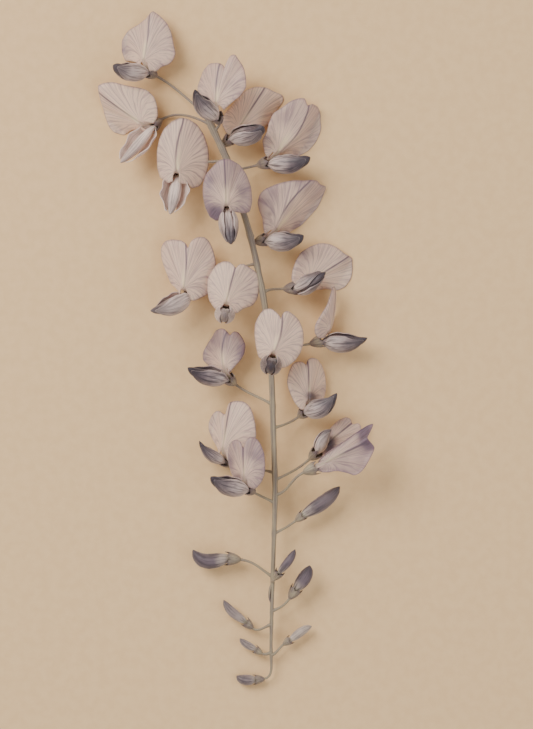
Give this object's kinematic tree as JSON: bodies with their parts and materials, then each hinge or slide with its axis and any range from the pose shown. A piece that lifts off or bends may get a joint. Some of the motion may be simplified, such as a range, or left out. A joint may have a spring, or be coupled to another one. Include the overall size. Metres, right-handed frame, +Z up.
{
  "type": "wisteria raceme",
  "caption": "Cut wisteria raceme lying on a surface: a tapering stem with open pea-shaped blooms near the cut end, younger half-open ones below and closed buds at the tip",
  "frame": {"origin": "middle of the box in X and Y, on the surface that the raceme lies on", "axes": "+X across the raceme, to the right as it is seen from above; +Y along it, from its soft tip to its cut end; +Z up from the surface"},
  "size_m": [0.112, 0.2686, 0.0313],
  "materials": {
    "stem": "green and finely downy, with purplish calyces",
    "banner": "matte pale lilac petal with darker veins and a cream blotch at its base",
    "keel": "satin dark violet petal",
    "bud": "downy violet-grey bud"
  },
  "bodies": {
    "root": {"stem": "stem", "banner_01": "banner", "banner_02": "banner", "banner_03": "banner", "banner_04": "banner", "banner_05": "banner", "banner_06": "banner", "banner_07": "banner", "banner_08": "banner", "banner_09": "banner", "banner_10": "banner", "banner_11": "banner", "banner_12": "banner", "banner_13": "banner", "banner_14": "banner", "banner_15": "banner", "banner_16": "banner", "banner_17": "banner", "banner_18": "banner", "banner_19": "banner", "keel_01": "keel", "keel_02": "keel", "keel_03": "keel", "keel_04": "keel", "keel_05": "keel", "keel_06": "keel", "keel_07": "keel", "keel_08": "keel", "keel_09": "keel", "keel_10": "keel", "keel_11": "keel", "keel_12": "keel", "keel_13": "keel", "keel_14": "keel", "keel_15": "keel", "keel_16": "keel", "keel_17": "keel", "keel_18": "keel", "keel_19": "keel", "bud_01": "bud", "bud_02": "bud", "bud_03": "bud", "bud_04": "bud", "bud_05": "bud", "bud_06": "bud", "bud_07": "bud", "bud_08": "bud"}
  },
  "joints": []
}
